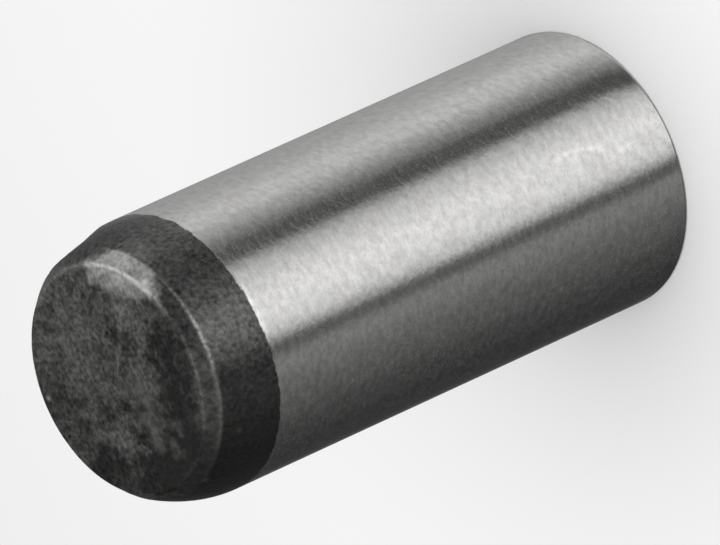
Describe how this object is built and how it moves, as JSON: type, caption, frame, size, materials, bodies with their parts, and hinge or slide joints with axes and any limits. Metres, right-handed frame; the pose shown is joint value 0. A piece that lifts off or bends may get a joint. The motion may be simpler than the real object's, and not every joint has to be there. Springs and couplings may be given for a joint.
{
  "type": "dowel pin",
  "caption": "Hardened steel dowel pin: a plain ground cylinder with a rounded, blackened lead-in end, pressed into a hole to locate parts.",
  "frame": {"origin": "middle of the plain end, on which the pin stands", "axes": "+Z along the pin, towards the lead-in end; the bruise on the end face's edge is on the +X, -Y side"},
  "size_m": [0.008, 0.008, 0.018],
  "materials": {
    "hardened_steel": "ground bright on the cylinder, black hardening scale on the lead-in end"
  },
  "bodies": {
    "root": {"dowel_pin": "hardened_steel"}
  },
  "joints": []
}
